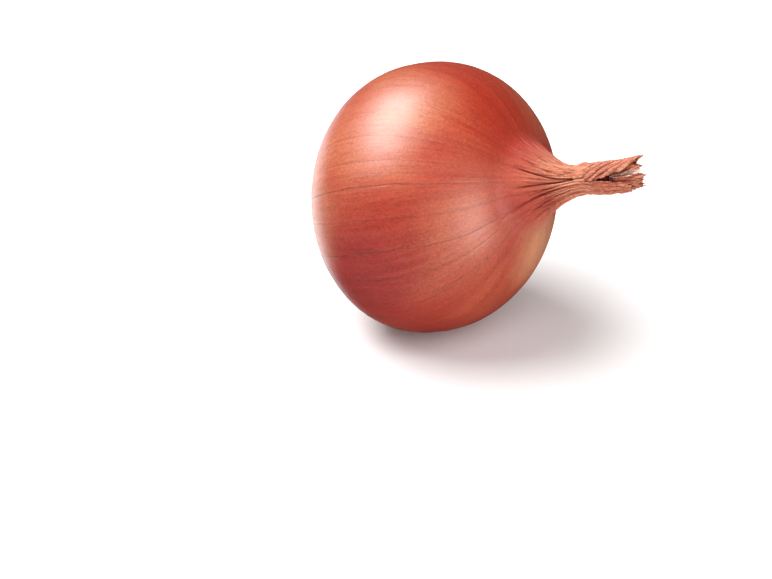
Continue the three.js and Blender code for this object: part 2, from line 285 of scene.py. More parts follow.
# Bulb and neck: a grid wrapped round the axis along an outline, then pulled into lobes, veins and furrows.
def makeBulb(material):
    shape = bmesh.new()
    low = -bulb["rootHalf"] * math.sqrt(1 - (bulb["socket"] / bulb["radius"]) ** 2)
    rings = bulbRings(low)
    flat = flatGrid(shape, len(rings) - 1, bulb["steps"])
    ring = np.rint((flat[:, 0] + 1) / 2 * (len(rings) - 1)).astype(int)
    around = math.pi * flat[:, 1]
    radius, z = rings[ring].T
    spun = np.stack([radius * np.cos(around), radius * np.sin(around), z], axis=1)
    for vertex, point in zip(shape.verts, spun.tolist()):
        vertex.co = point
    bmesh.ops.remove_doubles(shape, verts=shape.verts[:], dist=0.0001)
    bmesh.ops.recalc_face_normals(shape, faces=shape.faces[:])
    spun = np.array([v.co[:] for v in shape.verts])
    z = spun[:, 2]
    radius = np.hypot(spun[:, 0], spun[:, 1])
    angle = np.degrees(np.arctan2(spun[:, 1], spun[:, 0]))
    onSkin = (radius > neck["smoothWithin"]) & ((z > low) | (radius > bulb["socket"] + 0.05))

    furrow = furrowDepth(z, angle) * (1 - smooth(z, *neck["furrowEnd"])) * onSkin
    swell = grainNoise(z, angle, *bulb["swellGrain"]) * bulb["swell"] * bell(z / bulb["swellReach"])
    creases = np.zeros_like(z)
    for vein in veins:
        away = turn(veinAngle(vein, z), angle) * np.radians(1) * radius
        deep = veinCrease["depth"] + veinCrease["strongDepth"] * vein[3]
        creases += deep * bell(away / veinCrease["width"]) * (1 - smooth(z, *veinCrease["fadeHeights"]))
    crinkle = grainNoise(z, angle, *pleats["crinkleGrain"])
    crinkle = crinkle + pleats["fineCrinkle"] * grainNoise(z, angle, *pleats["fineGrain"])
    crinkle = crinkle * pleats["crinkle"] * smooth(z, *pleats["crinkleHeights"])
    dent = bulb["dent"] * bell((z + bulb["rootHalf"]) / bulb["dentReach"])
    dent = dent * (0.5 + grainNoise(z, angle, *bulb["dentGrain"]))
    raised = roundness(z, angle) + swell + crinkle + knobHeight(z, angle) - creases - dent
    moved = radius + raised * onSkin - furrow
    moved = np.where(radius < 0.01, 0, np.maximum(moved, neck["thinnest"]))

    places, points = wrapRound(moved, angle, z)
    layPoints(shape, points)
    piece = finishPiece("bulbSkin", shape, material, ["bulb"])
    # Painted shade: the skin darkens where it sinks under the torn leaves in the neck's mouth, and along its
    # furrows and vein creases.
    dark = neck["mouthShade"] * smooth(z, *neck["mouthShadeHeights"])
    markPlaces(piece.data, places, furrow + veinCrease["mark"] * creases + dark)


# The torn leaves on the neck's end. ends gives how far the leaf reaches at an angle, clear how far it stands
# off the neck, and wring how fast its pleats turn, in degrees for each millimetre.
leaves = {
    "upperLeaf": {
        "angles": (-100, 69), "foot": 47.6, "clear": 0.75, "flare": 0.5, "thick": 0.28, "wring": -9,
        "pleats": 13, "pleatHeight": 0.62, "crinkle": 0.28, "ragged": 0.4, "lift": 0.3,
        "seed": 2, "cols": 160, "rows": 96,
        "ends": [(-100, 61), (-84, 63.5), (-50, 65.5), (-26, 67.4), (-13, 69.6), (2, 68.4), (14, 67.4),
                 (30, 66), (44, 64.4), (50, 61), (58, 58.5), (69, 55)],
    },
    "lowerLeaf": {
        "angles": (70, 214), "foot": 47.6, "clear": 0.3, "flare": 0.1, "thick": 0.3, "wring": 2,
        "pleats": 17, "pleatHeight": 0.26, "crinkle": 0.36, "ragged": 0.5, "lift": 0.15,
        "seed": 5, "cols": 130, "rows": 90,
        "ends": [(70, 55.5), (77, 58.5), (84, 61.5), (94, 65.6), (112, 66.2), (132, 65.2), (160, 63.8),
                 (198, 63), (214, 61.5)],
    },
    "backLeaf": {
        "angles": (205, 268), "foot": 47.9, "clear": 0.5, "flare": 0.3, "thick": 0.28, "wring": -4,
        "pleats": 15, "pleatHeight": 0.34, "crinkle": 0.26, "ragged": 0.6, "lift": 0.3,
        "seed": 9, "cols": 90, "rows": 80,
        "ends": [(205, 61), (225, 64.4), (250, 62.6), (268, 61)],
    },
}
# The tips inside stand free in the neck's mouth: radius is how far a tip stands off the axis, low down and
# at its end.
tips = {
    "whiteTip": {
        "angles": (26, 68), "foot": 58.4, "radius": (2.6, 3.35), "thick": 0.2, "wring": 4,
        "pleats": 20, "pleatHeight": 0.14, "crinkle": 0.16, "ragged": 0.4, "lift": 0.15,
        "seed": 31, "cols": 44, "rows": 56,
        "ends": [(26, 66.5), (38, 69.2), (50, 69.8), (60, 68.4), (68, 66)],
    },
    "orangeTip": {
        "angles": (4, 52), "foot": 58.4, "radius": (2.9, 4.1), "thick": 0.22, "wring": -4,
        "pleats": 14, "pleatHeight": 0.14, "crinkle": 0.14, "ragged": 0.25, "lift": 0.1,
        "seed": 37, "cols": 40, "rows": 56,
        "ends": [(4, 65), (24, 67.2), (34, 70.2), (40, 68), (52, 65)],
    },
    "frontTip": {
        "angles": (58, 112), "foot": 58.4, "radius": (2.7, 3.3), "thick": 0.26, "wring": 2,
        "pleats": 22, "pleatHeight": 0.2, "crinkle": 0.22, "ragged": 0.9, "lift": 0.2,
        "seed": 41, "cols": 50, "rows": 60,
        "ends": [(58, 67.5), (70, 69.6), (80, 70.4), (92, 68.6), (104, 69.2), (112, 67)],
    },
    "lowTip": {
        "angles": (100, 156), "foot": 58.4, "radius": (2.7, 3.6), "thick": 0.26, "wring": 3,
        "pleats": 20, "pleatHeight": 0.18, "crinkle": 0.22, "ragged": 0.8, "lift": 0.2,
        "seed": 43, "cols": 50, "rows": 56,
        "ends": [(100, 67), (112, 68), (126, 69.6), (140, 67.6), (156, 65.5)],
    },
    "midTip": {
        "angles": (64, 150), "foot": 58.4, "radius": (1.7, 2.2), "thick": 0.24, "wring": -4,
        "pleats": 16, "pleatHeight": 0.2, "crinkle": 0.2, "ragged": 0.8, "lift": 0,
        "seed": 47, "cols": 44, "rows": 50,
        "ends": [(64, 67), (90, 69), (120, 68.2), (150, 66)],
    },
    "farTip": {
        "angles": (160, 262), "foot": 58.4, "radius": (2.6, 3.2), "thick": 0.24, "wring": 2,
        "pleats": 14, "pleatHeight": 0.18, "crinkle": 0.2, "ragged": 0.9, "lift": 0.1,
        "seed": 53, "cols": 56, "rows": 50,
        "ends": [(160, 65), (190, 67.2), (220, 65.4), (244, 67), (262, 64.5)],
    },
    "topTip": {
        "angles": (268, 362), "foot": 58.4, "radius": (2.5, 3.0), "thick": 0.24, "wring": -3,
        "pleats": 14, "pleatHeight": 0.18, "crinkle": 0.2, "ragged": 0.9, "lift": 0.1,
        "seed": 59, "cols": 56, "rows": 50,
        "ends": [(268, 64.5), (300, 66.6), (330, 65.6), (362, 67)],
    },
}
# What all of them share. A grain here is (number added to the leaf's seed, size across, size lengthwise).
torn = {
    "shredGrain": (0, 1.6, 1), "wideShredGrain": (50, 5, 1), "endShreds": 1.4, "footShreds": 1.2,
    "wringFrom": 51, "waver": 1.2, "waverGrain": (0, 14, 5),
    "smallFold": 0.25, "smallFoldCount": 2.6, "smallFoldStart": 1,
    "crumpleGrain": (3, 3, 2.4), "fineGrain": (7, 6, 0.9), "fine": 0.6,
    "calm": 0.4, "frontAngle": 70, "calmFrom": (80, 120),  # the finest crumples fade out towards the back
    "liftFrom": -1, "liftTo": 4.5, "hidden": 0.12, "hiddenRun": 1.5, "flareHeights": (61, 69),
    "stump": 1.7, "tipLift": 0.3, "tipFlare": 0.5,
    # The last value on the next line sets how strongly a pleat's depth turns into painted shade.
    "edgeWidth": 0.05, "mark": 2.1,
}


def leafNoise(z, angle, leaf, grainName):
    more, across, lengthwise = torn[grainName]
    return grainNoise(z, angle, leaf["seed"] + more, across, lengthwise)


def makeLeaf(name, leaf, material, nodes):
    shape = bmesh.new()
    flat = flatGrid(shape, leaf["rows"], leaf["cols"])
    u = (flat[:, 0] + 1) / 2
    v = (flat[:, 1] + 1) / 2
    low, high = leaf["angles"]
    angle = low + (high - low) * v
    knots, reach = zip(*leaf["ends"])
    level = np.zeros_like(v)
    shreds = leafNoise(level, angle, leaf, "shredGrain") + leafNoise(level, angle, leaf, "wideShredGrain")
    end = np.interp(angle, knots, reach) + leaf["ragged"] * shreds * torn["endShreds"]
    foot = leaf["foot"] + np.maximum(0, shreds) * torn["footShreds"]
    z = foot + (end - foot) * u

    wrung = angle - leaf["wring"] * np.maximum(0, z - torn["wringFrom"])
    wave = np.radians(wrung * leaf["pleats"] / 2) + torn["waver"] * leafNoise(z, wrung, leaf, "waverGrain")
    smallWave = torn["smallFoldCount"] * wave + torn["smallFoldStart"]
    fold = np.abs(np.sin(wave)) - torn["smallFold"] * np.abs(np.sin(smallWave))
    crinkle = leafNoise(z, wrung, leaf, "crumpleGrain")
    fine = torn["fine"] - torn["calm"] * smooth(np.abs(angle - torn["frontAngle"]), *torn["calmFrom"])
    crinkle += fine * leafNoise(z, wrung, leaf, "fineGrain")
    if "clear" in leaf:
        # At its foot the leaf is one with the neck, and its own pleats take over from the neck's furrows.
        lifted = smooth(z, neck["leafFoot"] + torn["liftFrom"], neck["leafFoot"] + torn["liftTo"])
        hidden = 1 - smooth(z, neck["leafFoot"], neck["leafFoot"] + torn["hiddenRun"])
        neckFurrow = furrowDepth(z, angle) * (1 - lifted)
        base = skinRadius(z) - torn["hidden"] * hidden - neckFurrow + knobHeight(z, angle)
        base = base + leaf["clear"] * lifted + leaf["flare"] * smooth(z, *torn["flareHeights"])
    else:
        lifted = smooth(u, 0, torn["tipLift"])
        neckFurrow = np.zeros_like(z)
        inner, outer = leaf["radius"]
        base = torn["stump"] + (inner - torn["stump"]) * lifted
        base = base + (outer - inner) * smooth(u, torn["tipFlare"], 1)
    furrow = leaf["pleatHeight"] * (1 - fold) * lifted
    edge = bell(np.minimum(v, 1 - v) / torn["edgeWidth"])
    radius = base + leaf["crinkle"] * crinkle * lifted - furrow + leaf["lift"] * lifted * edge

    places, points = wrapRound(radius, angle, z)
    layPoints(shape, points)
    inside = layDown @ Vector((0, 0, 60))
    outward = sum(f.normal.dot(f.calc_center_median() - inside) for f in shape.faces)
    if outward < 0:
        bmesh.ops.reverse_faces(shape, faces=shape.faces[:])
    piece = finishPiece(name, shape, material, nodes)
    # The leaf's pleats, and the neck's furrows at its foot, take painted shade.
    markPlaces(piece.data, places, furrow * torn["mark"] + neckFurrow)
    giveWall(piece, leaf["thick"])


# The root end: a corky plate with dried roots.
root = {
    "plateRadius": 6.4, "plateBulge": 1.1, "bulgePower": 2.4, "plateThick": 1.4, "plateSteps": 60,
    "lumps": 0.35, "lumpCounts": (4, 9), "rimRise": 0.5, "rimFrom": 0.9,
    "count": 74, "lengths": (3.4, 7.2), "radius": (0.2, 0.36), "outerShorter": 0.35, "longest": 1.1,
    "edge": 0.8, "bend": (0.3, 0.9), "curl": 0.5, "laterCurl": 0.7, "curlSteps": 3, "turning": 0.5,
    "outwards": 0.05, "taper": 0.9, "tipTaper": 0.5, "sides": 6, "segments": 9, "seed": 19,
    "goldenAngle": 137.508,
}


def plateLump(x, y):
    coarse, small = root["lumpCounts"]
    lump = noise.noise(Vector((x * coarse, y * coarse, 3)))
    return lump + 0.5 * noise.noise(Vector((x * small, y * small, 7)))


def makeRootPlate(material):
    shape = bmesh.new()
    flat = flatGrid(shape, root["plateSteps"], root["plateSteps"])
    # The square grid is drawn in to a round plate.
    square = np.maximum(np.abs(flat[:, 0]), np.abs(flat[:, 1]))
    reach = np.hypot(flat[:, 0], flat[:, 1])
    scale = np.where(reach > 0, square / np.maximum(reach, 1e-9), 0)
    x, y = flat[:, 0] * scale, flat[:, 1] * scale
    out = np.hypot(x, y)
    lumps = np.array([plateLump(p, q) for p, q in zip(x, y)])
    height = -bulb["rootHalf"] - 0.1 - root["plateBulge"] * (1 - out ** root["bulgePower"])
    height = height + root["lumps"] * lumps + root["rimRise"] * smooth(out, root["rimFrom"], 1)
    places = np.stack([x * root["plateRadius"], y * root["plateRadius"], height], axis=1)
    dx, dy = centreLine(-bulb["rootHalf"] + np.zeros_like(height))
    layPoints(shape, places + np.stack([dx, dy, np.zeros_like(height)], axis=1))
    if sum(f.normal.dot(-along) for f in shape.faces) < 0:
        bmesh.ops.reverse_faces(shape, faces=shape.faces[:])
    piece = finishPiece("rootPlate", shape, material, ["root_tuft"])
    # The plate's lower spots take painted shade.
    markPlaces(piece.data, places, np.clip(-lumps, 0, 1))
    giveWall(piece, root["plateThick"])


def makeRoots(material):
    shape = bmesh.new()
    chance = np.random.default_rng(root["seed"])
    dx, dy = centreLine(np.array(-bulb["rootHalf"]))
    last = root["segments"] - 1
    turning = root["turning"] / root["segments"] * root["curlSteps"]
    for i in range(root["count"]):
        out = math.sqrt((i + 0.5) / root["count"])
        spot = math.radians(root["goldenAngle"] * i)
        length = chance.uniform(*root["lengths"]) * (root["longest"] - root["outerShorter"] * out)
        thick = chance.uniform(*root["radius"])
        away = Vector((math.cos(spot), math.sin(spot), 0))
        heading = (Vector((0, 0, -1)) + away * out * chance.uniform(*root["bend"])).normalized()
        curl = Vector(chance.uniform(-1, 1, 3).tolist()) * root["curl"]
        place = Vector((float(dx), float(dy), -bulb["rootHalf"] + 0.2))
        place += away * out * (root["plateRadius"] - root["edge"])
        ring = bmesh.ops.create_circle(shape, cap_ends=True, segments=root["sides"], radius=thick)["verts"]
        facing = Vector((0, 0, 1)).rotation_difference(heading).to_matrix().to_4x4()
        bmesh.ops.transform(shape, matrix=Matrix.Translation(place) @ facing, verts=ring)
        cap = list({f for v in ring for f in v.link_faces})
        for step in range(root["segments"]):
            grown = bmesh.ops.extrude_face_region(shape, geom=cap)["geom"]
            if step > 0:
                bmesh.ops.delete(shape, geom=cap, context="FACES_ONLY")
            ring = [g for g in grown if isinstance(g, bmesh.types.BMVert)]
            cap = [g for g in grown if isinstance(g, bmesh.types.BMFace)]
            bent = (heading + curl * turning + away * root["outwards"]).normalized()
            swing = heading.rotation_difference(bent).to_matrix().to_4x4()
            shrink = Matrix.Scale(root["taper"] if step < last else root["tipTaper"], 4)
            onward = place + heading * length / root["segments"]
            move = Matrix.Translation(onward) @ swing @ shrink @ Matrix.Translation(-place)
            bmesh.ops.transform(shape, matrix=move, verts=ring)
            place = onward
            heading = bent
            if (step + 1) % root["curlSteps"] == 0:
                curl = Vector(chance.uniform(-1, 1, 3).tolist()) * root["laterCurl"]
    bmesh.ops.recalc_face_normals(shape, faces=shape.faces[:])
    points = np.array([v.co[:] for v in shape.verts])
    layPoints(shape, points)
    piece = finishPiece("rootHairs", shape, material, ["root_tuft"])
    markPlaces(piece.data, points, np.zeros(len(points)))


# Materials. link takes a socket or a plain value for each input.
def link(tree, kind, inputs=None, **settings):
    made = tree.nodes.new(kind)
    for name, value in settings.items():
        setattr(made, name, value)
    for name, value in (inputs or {}).items():
        if isinstance(value, bpy.types.NodeSocket):
            tree.links.new(value, made.inputs[name])
        else:
            made.inputs[name].default_value = value
    return made


def calc(tree, operation, a, b=0.0, c=0.0):
    return link(tree, "ShaderNodeMath", {0: a, 1: b, 2: c}, operation=operation).outputs[0]


def plus(tree, a, b):
    return calc(tree, "ADD", a, b)


def times(tree, a, b):
    return calc(tree, "MULTIPLY", a, b)


def ease(tree, value, low, high, start=0.0, end=1.0):
    inputs = {"Value": value, "From Min": low, "From Max": high, "To Min": start, "To Max": end}
    made = link(tree, "ShaderNodeMapRange", inputs, interpolation_type="SMOOTHSTEP")
    return made.outputs["Result"]


def mixColour(tree, amount, first, second, blend="MIX"):
    made = link(tree, "ShaderNodeMix", data_type="RGBA", blend_type=blend)
    for index, value in ((0, amount), (6, first), (7, second)):
        if isinstance(value, bpy.types.NodeSocket):
            tree.links.new(value, made.inputs[index])
        elif index:
            made.inputs[index].default_value = (*value, 1)
        else:
            made.inputs[index].default_value = value
    return made.outputs[2]


def newMaterial(name):
    material = bpy.data.materials.new(name)
    material.use_nodes = True
    tree = material.node_tree
    return material, tree, tree.nodes["Principled BSDF"]


def markOf(tree, name, output):
    # What markPlaces left on the piece.
    return link(tree, "ShaderNodeAttribute", attribute_name=name).outputs[output]


def addBump(tree, shader, height, strength=1.0, distance=mm):
    bump = link(tree, "ShaderNodeBump", {"Height": height, "Strength": strength, "Distance": distance})
    tree.links.new(bump.outputs[0], shader.inputs["Normal"])


def cloudNoise(tree, place, scale, detail, roughness=0.55):
    inputs = {"Vector": place, "Scale": scale, "Detail": detail, "Roughness": roughness}
    return link(tree, "ShaderNodeTexNoise", inputs).outputs["Fac"]


def fromAxis(tree, x, y):
    return calc(tree, "SQRT", plus(tree, times(tree, x, x), times(tree, y, y)))


def grain(tree, place, across, lengthwise, detail, seed):
    # Noise stretched along the meridians, as displaced in the mesh: sizes in millimetres at the widest ring.
    x, y, z = link(tree, "ShaderNodeSeparateXYZ", {0: place}).outputs
    wide = calc(tree, "DIVIDE", bulb["radius"] / across, calc(tree, "MAXIMUM", fromAxis(tree, x, y), 0.5))
    spot = link(tree, "ShaderNodeCombineXYZ", {
        0: plus(tree, times(tree, x, wide), seed),
        1: times(tree, y, wide),
        2: calc(tree, "DIVIDE", z, lengthwise)})
    return cloudNoise(tree, spot.outputs[0], 1.0, detail)


def rowPoint(angle, z):
    # A point of the skin at an angle and a height, in the row frame.
    radius = float(skinRadius(np.array(float(z))))
    dx, dy = centreLine(np.array(float(z)))
    a = math.radians(angle)
    return layDown @ Vector((radius * math.cos(a) + float(dx), radius * math.sin(a) + float(dy), z))


skin = {
    "orange": (0.4, 0.054, 0.018), "red": (0.345, 0.02, 0.006), "deep": (0.32, 0.006, 0.001),
    # pale is laid only as painted highlight and painted reflection of the rim, in the patches; gold is the
    # skin's golden tone, and a few gold patches are painted highlight too.
    "gold": (0.48, 0.13, 0.053), "pale": (0.52, 0.19, 0.095), "straw": (0.55, 0.215, 0.1),
    # The furrow colour is painted shade, laid in the furrows and pleats and in the neck's mouth under the
    # torn leaves.
    "neckTan": (0.78, 0.34, 0.19), "neckRed": (0.52, 0.11, 0.05), "furrow": (0.19, 0.012, 0.004),
    "vein": (0.13, 0.022, 0.015), "speck": (0.07, 0.02, 0.015),
    "redShare": (0.1, 0.7), "goldBands": 0.18, "goldBandsOnTop": 0.08, "redClouds": 0.3,
    "roughness": 0.41, "neckRoughness": 0.8, "paperHeights": (27, 37), "ior": 1.55, "gloss": 1.0,
    # Broad patches: (angle, height, size in millimetres, colour, strength)
    "patches": [
        (80, 1, 21, "red", 0.85), (102, -7, 27, "deep", 1.0), (108, -8, 20, "deep", 0.8),
        (140, 2, 15, "deep", 0.7), (50, -6, 22, "orange", 0.8), (72, -14, 13, "orange", 0.5),
        (30, -9, 16, "gold", 0.7), (6, 0, 15, "gold", 0.7), (-10, 24, 22, "red", 0.85),
        (8, 31, 16, "red", 0.85), (-20, 10, 16, "red", 0.3), (16, 13, 16, "gold", 0.65),
        # The pale patch at (30, 8) and the gold ones at (47, 7), (48, -3) and (56, 11) are painted highlight
        # on the key highlight and its lower end.
        (30, 8, 15, "pale", 0.7), (47, 7, 12, "gold", 0.55), (48, -3, 12, "gold", 0.6),
        (56, 11, 10, "gold", 0.5), (72, 12, 13, "red", 0.5), (184, 28, 18, "straw", 0.95),
        # The gold patch at (94, 24) is painted highlight: the warm spread of the second highlight.
        (94, 24, 17, "gold", 0.5), (-60, 23, 15, "gold", 0.5), (-84, 31, 9, "red", 0.6),
        (-36, 20, 11, "orange", 0.5), (125, 22, 14, "orange", 0.6), (88, 33, 12, "red", 0.8),
        (55, 34, 8, "orange", 0.8), (210, 0, 24, "red", 0.5), (250, 10, 24, "gold", 0.4),
        # The pale patches at (46, -18) and (66, -17) and the gold one at (86, -19) are painted reflection:
        # the pale rim on the lower left.
        (300, -12, 22, "red", 0.4), (46, -18, 11, "pale", 0.55), (66, -17, 12, "pale", 0.6),
        (86, -19, 11, "gold", 0.6),
    ],
    # The same on the papery neck
    "neckPatches": [
        (108, 39, 9, "red", 0.7), (-70, 36, 10, "orange", 0.5), (120, 60, 9, "neckRed", 0.55),
        (60, 55, 5, "neckRed", 0.4),
    ],
    "patchCore": 0.15,  # the share of a patch's size that has its full strength
}
# The grains of the skin: (size across, size lengthwise, detail, seed)
skinGrains = {
    "broad": (9, 60, 2, 4), "band": (2.4, 40, 3, 11), "fibre": (0.42, 9, 3, 23), "cells": (0.45, 0.8, 2, 31),
    "broken": (30, 7, 3, 41), "wander": (60, 9, 2, 57), "streak": (1.1, 22, 2, 71),
}
veinLine = {"width": 0.34, "core": 0.05, "strength": 0.62, "wander": 2.4, "faintest": 0.45, "fade": (36, 27)}
# The last two values: over which furrow depths the painted shade comes in, and its strength.
paperyNeck = {"heights": (36, 47), "waver": 6.0, "goldFibres": 0.5, "furrowMark": (0.3, 1.1), "furrow": 0.9}
brightness = {"fibre": 0.04, "cells": 0.07, "streak": 0.06, "mottle": (-0.14, 0.16), "mottleScale": 1500.0}
specks = {"scale": 150.0, "rarity": (0.9, 0.93), "size": (0.09, 0.04), "strength": 0.7}
# Heights of the relief in millimetres: (on the bulb, on the neck)
relief = {
    "fibre": (0.022, 0.14), "crepe": (0, 0.8), "band": (0.045, 0.35), "cells": 0.035, "veins": -0.03,
    "crepeScale": 1000.0,
}


def layPatches(tree, here, colour, patches):
    for at, height, size, shade, strength in patches:
        spot = {0: here, 1: rowPoint(at, height)}
        away = link(tree, "ShaderNodeVectorMath", spot, operation="DISTANCE").outputs["Value"]
        amount = ease(tree, away, size * mm, size * mm * skin["patchCore"], 0, strength)
        colour = mixColour(tree, amount, colour, skin[shade])
    return colour


def veinLines(tree, x, y, z, grains):
    # The veins, thin and dark, with broken strength.
    angle = times(tree, calc(tree, "ARCTAN2", y, x), math.degrees(1))
    out = fromAxis(tree, x, y)
    t = calc(tree, "DIVIDE", z, veinCrease["length"])
    wander = times(tree, calc(tree, "SUBTRACT", grains["wander"], 0.5), veinLine["wander"])
    lines = None
    for vein in veins:
        path = calc(tree, "MULTIPLY_ADD", calc(tree, "MULTIPLY_ADD", t, vein[2], vein[1]), t, vein[0])
        gap = calc(tree, "SUBTRACT", plus(tree, angle, wander), path)
        away = calc(tree, "ABSOLUTE", calc(tree, "WRAP", gap, 180.0, -180.0))
        width = times(tree, times(tree, away, math.radians(1)), out)
        mark = ease(tree, width, veinLine["width"], veinLine["core"], 0, vein[3])
        lines = mark if lines is None else calc(tree, "MAXIMUM", lines, mark)
    lines = times(tree, lines, ease(tree, grains["broken"], 0.25, 0.6, veinLine["faintest"], 1))
    return times(tree, lines, ease(tree, z, *veinLine["fade"]))


def tintFine(tree, here, colour, grains):
    # Fine fibre and cell structure lightens and darkens the skin, and a few specks lie on it.
    fibre = brightness["fibre"]
    bright = ease(tree, grains["fibre"], 0.35, 0.65, 1 - fibre, 1 + fibre)
    for name in ("cells", "streak"):
        bright = plus(tree, bright, ease(tree, grains[name], 0.35, 0.65, -brightness[name], brightness[name]))
    mottle = cloudNoise(tree, here, brightness["mottleScale"], 2.0, 0.6)
    bright = plus(tree, bright, ease(tree, mottle, 0.3, 0.7, *brightness["mottle"]))
    tint = link(tree, "ShaderNodeCombineColor", {0: bright, 1: bright, 2: bright}).outputs[0]
    colour = mixColour(tree, 1.0, colour, tint, "MULTIPLY")
    inputs = {"Vector": here, "Scale": specks["scale"], "Randomness": 1.0}
    dots = link(tree, "ShaderNodeTexVoronoi", inputs)
    chance = link(tree, "ShaderNodeSeparateXYZ", {0: dots.outputs["Color"]}).outputs[0]
    rare = ease(tree, chance, *specks["rarity"])
    speck = times(tree, ease(tree, dots.outputs["Distance"], *specks["size"]), rare)
    return mixColour(tree, times(tree, speck, specks["strength"]), colour, skin["speck"])


def makeSkin(name):
    material, tree, shader = newMaterial(name)
    place = markOf(tree, "place", "Vector")
    furrow = markOf(tree, "furrow", "Fac")
    here = link(tree, "ShaderNodeTexCoord").outputs["Object"]
    x, y, z = link(tree, "ShaderNodeSeparateXYZ", {0: place}).outputs
    grains = {kind: grain(tree, place, *sizes) for kind, sizes in skinGrains.items()}
    band = grains["band"]
    fibre = grains["fibre"]
    cloud = cloudNoise(tree, here, 55.0, 3.0)

    ruddy = ease(tree, grains["broad"], 0.3, 0.7, *skin["redShare"])
    colour = mixColour(tree, ruddy, skin["orange"], skin["red"])
    colour = mixColour(tree, ease(tree, band, 0.3, 0.75, 0, skin["goldBands"]), colour, skin["gold"])
    # Broad patches of tone; a few of them paint highlight on the key and second highlights and the pale rim
    # reflection on the lower left.
    colour = layPatches(tree, here, colour, skin["patches"])
    colour = mixColour(tree, ease(tree, band, 0.4, 0.75, 0, skin["goldBandsOnTop"]), colour, skin["gold"])
    colour = mixColour(tree, ease(tree, cloud, 0.4, 0.7, 0, skin["redClouds"]), colour, skin["red"])
    lines = veinLines(tree, x, y, z, grains)
    colour = mixColour(tree, times(tree, lines, veinLine["strength"]), colour, skin["vein"])

    # The neck turns papery and pale, with painted shade in dark red along its furrows.
    paperiness = ease(tree, plus(tree, z, times(tree, band, paperyNeck["waver"])), *paperyNeck["heights"])
    neckColour = mixColour(tree, ease(tree, band, 0.35, 0.65), skin["neckTan"], skin["neckRed"])
    golden = ease(tree, fibre, 0.45, 0.75, 0, paperyNeck["goldFibres"])
    neckColour = mixColour(tree, golden, neckColour, skin["gold"])
    colour = mixColour(tree, paperiness, colour, neckColour)
    colour = layPatches(tree, here, colour, skin["neckPatches"])
    # Painted shade in the furrows, darker the deeper they run, and in the neck's mouth.
    dark = ease(tree, furrow, *paperyNeck["furrowMark"], 0, paperyNeck["furrow"])
    colour = mixColour(tree, dark, colour, skin["furrow"])
    tree.links.new(tintFine(tree, here, colour, grains), shader.inputs["Base Color"])

    rough = ease(tree, z, *skin["paperHeights"], skin["roughness"], skin["neckRoughness"])
    rough = plus(tree, rough, ease(tree, fibre, 0.25, 0.75, -0.05, 0.09))
    tree.links.new(rough, shader.inputs["Roughness"])
    shader.inputs["IOR"].default_value = skin["ior"]
    shader.inputs["Specular IOR Level"].default_value = skin["gloss"]

    crepe = cloudNoise(tree, here, relief["crepeScale"], 3.0, 0.6)
    height = plus(tree, times(tree, grains["cells"], relief["cells"]), times(tree, lines, relief["veins"]))
    for noiseName, pattern in (("fibre", fibre), ("crepe", crepe), ("band", band)):
        high = ease(tree, paperiness, 0, 1, *relief[noiseName])
        height = plus(tree, height, times(tree, pattern, high))
    addBump(tree, shader, height)
    return material


# The paper of the inner tips
paper = {
    # pale and dark are the paper's own tones; the third colour of each is painted shade for its pleats.
    "white": {"pale": (0.93, 0.84, 0.77), "dark": (0.76, 0.55, 0.45), "furrow": (0.5, 0.28, 0.2)},
    "reddish": {"pale": (0.62, 0.24, 0.14), "dark": (0.36, 0.075, 0.042), "furrow": (0.12, 0.02, 0.012)},
    "orange": {"pale": (0.62, 0.28, 0.15), "dark": (0.45, 0.13, 0.06), "furrow": (0.2, 0.05, 0.03)},
}
paperFinish = {
    # The last value on the next line is the strength of painted shade in the paper's pleats.
    "fibre": (1.6, 5, 3, 5), "band": (6, 12, 2, 17), "darkFibres": 0.5, "furrow": 0.7,
    "roughness": (0.6, 0.85), "relief": 0.1,
}


def makePaper(name, shades):
    material, tree, shader = newMaterial(name)
    place = markOf(tree, "place", "Vector")
    furrow = markOf(tree, "furrow", "Fac")
    fibre = grain(tree, place, *paperFinish["fibre"])
    band = grain(tree, place, *paperFinish["band"])
    colour = mixColour(tree, ease(tree, band, 0.35, 0.65), shades["pale"], shades["dark"])
    fibrous = ease(tree, fibre, 0.5, 0.75, 0, paperFinish["darkFibres"])
    colour = mixColour(tree, fibrous, colour, shades["dark"])
    # Painted shade in the paper's pleats.
    deep = ease(tree, furrow, 0.1, 0.5, 0, paperFinish["furrow"])
    colour = mixColour(tree, deep, colour, shades["furrow"])
    tree.links.new(colour, shader.inputs["Base Color"])
    tree.links.new(ease(tree, fibre, 0.3, 0.7, *paperFinish["roughness"]), shader.inputs["Roughness"])
    high = paperFinish["relief"]
    addBump(tree, shader, plus(tree, times(tree, fibre, high), times(tree, band, high)))
    return material


rootFinish = {
    # dark colours both the root's dark spots and the painted shade in the plate's lower spots.
    "straw": (0.5, 0.36, 0.2), "brown": (0.24, 0.14, 0.075), "dark": (0.09, 0.05, 0.03),
    # The last value on the next line is the strength of the painted shade in the plate's lower spots.
    "cloudScale": 420.0, "fineScale": 2400.0, "darkSpots": 0.5, "furrow": 0.7,
    "roughness": (0.75, 0.95), "relief": 0.6, "reliefHeight": 0.2,
}


